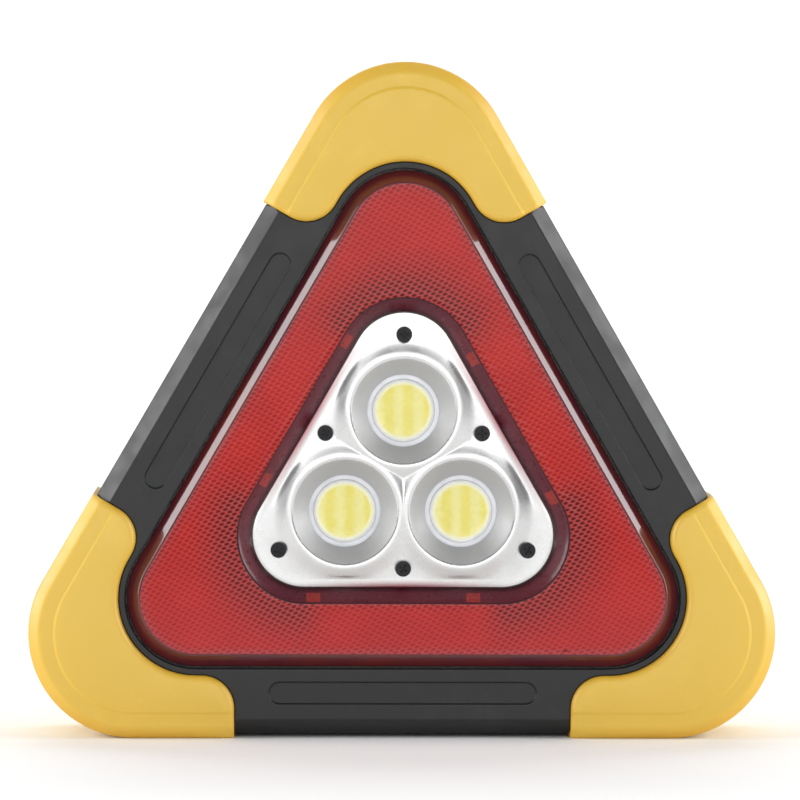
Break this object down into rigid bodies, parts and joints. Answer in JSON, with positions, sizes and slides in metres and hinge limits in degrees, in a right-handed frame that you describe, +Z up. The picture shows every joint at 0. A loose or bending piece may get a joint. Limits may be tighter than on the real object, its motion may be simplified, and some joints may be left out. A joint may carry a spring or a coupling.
{
  "type": "warning triangle light",
  "caption": "Triangular roadside warning and work light: black casing, yellow corner bumpers, red prismatic ring lens, silver lamp panel, folding stand and power button.",
  "frame": {"origin": "middle of the surface the light stands on, halfway through its depth", "axes": "+X to the right seen from the front, -Y towards the front with the lamps, +Z up"},
  "size_m": [0.1998, 0.036, 0.1805],
  "materials": {
    "black_abs": "fine moulded texture",
    "yellow_abs": "satin",
    "red_lens": "clear red, prisms on the inside",
    "silver_panel": "vacuum metallised, satin",
    "black_screw": "black zinc",
    "steel": "zinc plated",
    "aluminium": "mill finish",
    "white_silicone": "satin",
    "phosphor": "satin",
    "white_board": "white solder mask",
    "green_board": "green solder mask",
    "black_component": "moulded",
    "red_led": "clear",
    "white_led": "clear",
    "cell_wrap": "shrink wrap",
    "nickel": "nickel plated",
    "red_button": "satin",
    "black_rubber": "matte",
    "clear_acrylic": "clear",
    "red_insulation": "satin",
    "black_insulation": "satin"
  },
  "bodies": {
    "casing": {"battery_cell_left": "cell_wrap", "battery_cell_right": "cell_wrap", "battery_contacts": "nickel", "battery_holder": "black_abs", "battery_holder_screws": "steel", "board_components": "black_component", "case_screws": "steel", "charge_leds": "white_led", "charge_light_pipe": "clear_acrylic", "corner_bumper_left": "yellow_abs", "corner_bumper_right": "yellow_abs", "corner_bumper_top": "yellow_abs", "corner_screws": "steel", "front_bezel": "black_abs", "heat_sink_plate": "aluminium", "lamp_board_left": "aluminium", "lamp_board_right": "aluminium", "lamp_board_top": "aluminium", "lamp_dam_left": "white_silicone", "lamp_dam_right": "white_silicone", "lamp_dam_top": "white_silicone", "lamp_phosphor_left": "phosphor", "lamp_phosphor_right": "phosphor", "lamp_phosphor_top": "phosphor", "lamp_reflector": "silver_panel", "leads_black": "black_insulation", "leads_red": "red_insulation", "led_board_screws": "steel", "main_board": "green_board", "main_board_screws": "steel", "micro_usb_socket": "nickel", "power_switch": "black_component", "rear_cover": "black_abs", "red_led_board": "white_board", "red_leds": "red_led", "reflector_screws": "black_screw", "usb_a_socket": "nickel", "usb_cover_anchor": "black_rubber", "warning_lens": "red_lens"},
    "stand": {"stand": "black_abs"},
    "power_button": {"power_button": "red_button", "switch_plunger": "black_component"},
    "usb_port_cover": {"usb_port_cover": "black_rubber"}
  },
  "joints": [
    {"name": "stand_hinge", "type": "hinge", "parent": "casing", "child": "stand", "pos_m": [0, 0.0148, 0.118], "axis": [1, 0, 0], "range_deg": [0, 95]},
    {"name": "power_button_press", "type": "slide", "parent": "casing", "child": "power_button", "axis": [0, -1, 0], "range_m": [0, 0.0006], "stiffness_N_per_m": 1500, "springref_m": -0.0002},
    {"name": "usb_cover_hinge", "type": "hinge", "parent": "casing", "child": "usb_port_cover", "pos_m": [0.0093, 0.0171, 0.0319], "axis": [0, 0, 1], "range_deg": [0, 110]}
  ]
}
